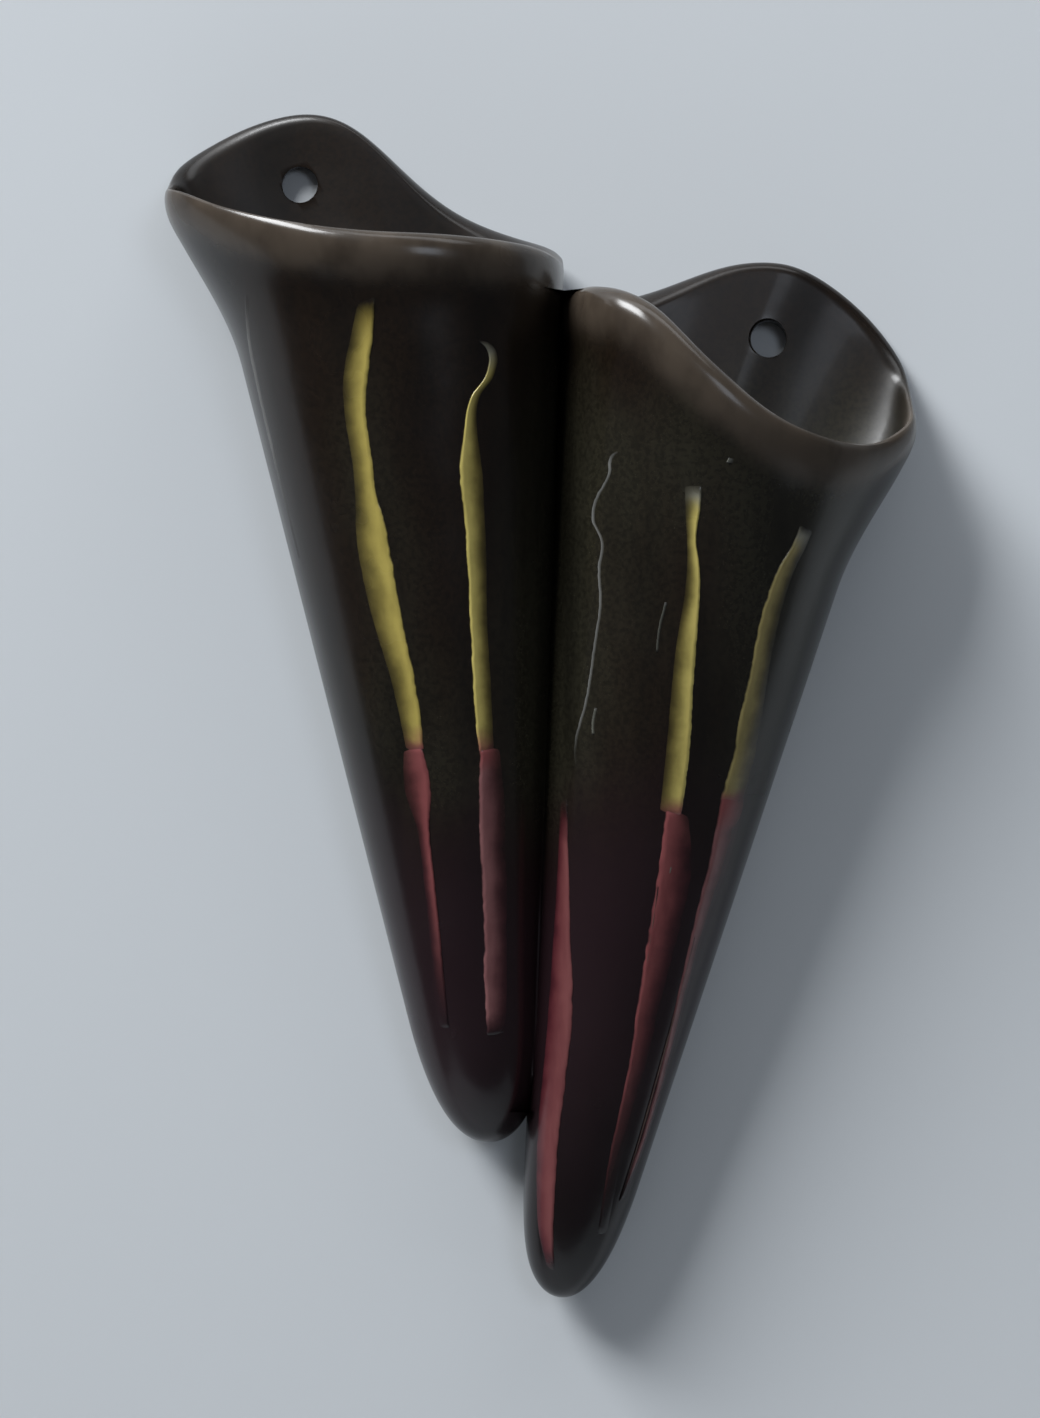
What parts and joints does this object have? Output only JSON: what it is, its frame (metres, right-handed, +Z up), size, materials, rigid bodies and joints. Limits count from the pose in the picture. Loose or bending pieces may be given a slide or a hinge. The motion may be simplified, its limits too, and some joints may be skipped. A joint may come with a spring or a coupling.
{
  "type": "hanging wall vase",
  "caption": "Glazed ceramic wall vase of joined half-round conical pockets with wavy rims, raised pierced back lobes and dripped glaze trails.",
  "frame": {"origin": "on the wall plane, in the middle of the flat back, just left of the seam between the pockets", "axes": "+Z up along the vase's height, +Y into the wall, -Y out to the room, +X to the right as seen from the room"},
  "size_m": [0.1255, 0.0379, 0.2005],
  "materials": {
    "dark_glaze": "glossy brown-black glaze with an olive cast, paler and browner where it runs thin on the lips",
    "yellow_glaze": "glossy mustard yellow glaze trail with one hard and one faded edge",
    "red_glaze": "glossy dull red to pink glaze trail",
    "pale_glaze": "glossy pale grey glaze trail"
  },
  "bodies": {
    "root": {"left_cone": "dark_glaze", "right_cone": "dark_glaze", "front_seam_slip": "dark_glaze", "left_outer_trail": "pale_glaze", "left_middle_upper_trail": "yellow_glaze", "left_middle_lower_trail": "red_glaze", "left_inner_upper_trail": "yellow_glaze", "left_inner_lower_trail": "red_glaze", "right_inner_upper_trail": "pale_glaze", "right_inner_lower_trail": "red_glaze", "right_middle_upper_trail": "yellow_glaze", "right_middle_lower_trail": "red_glaze", "right_outer_upper_trail": "yellow_glaze", "right_outer_lower_trail": "red_glaze"}
  },
  "joints": []
}
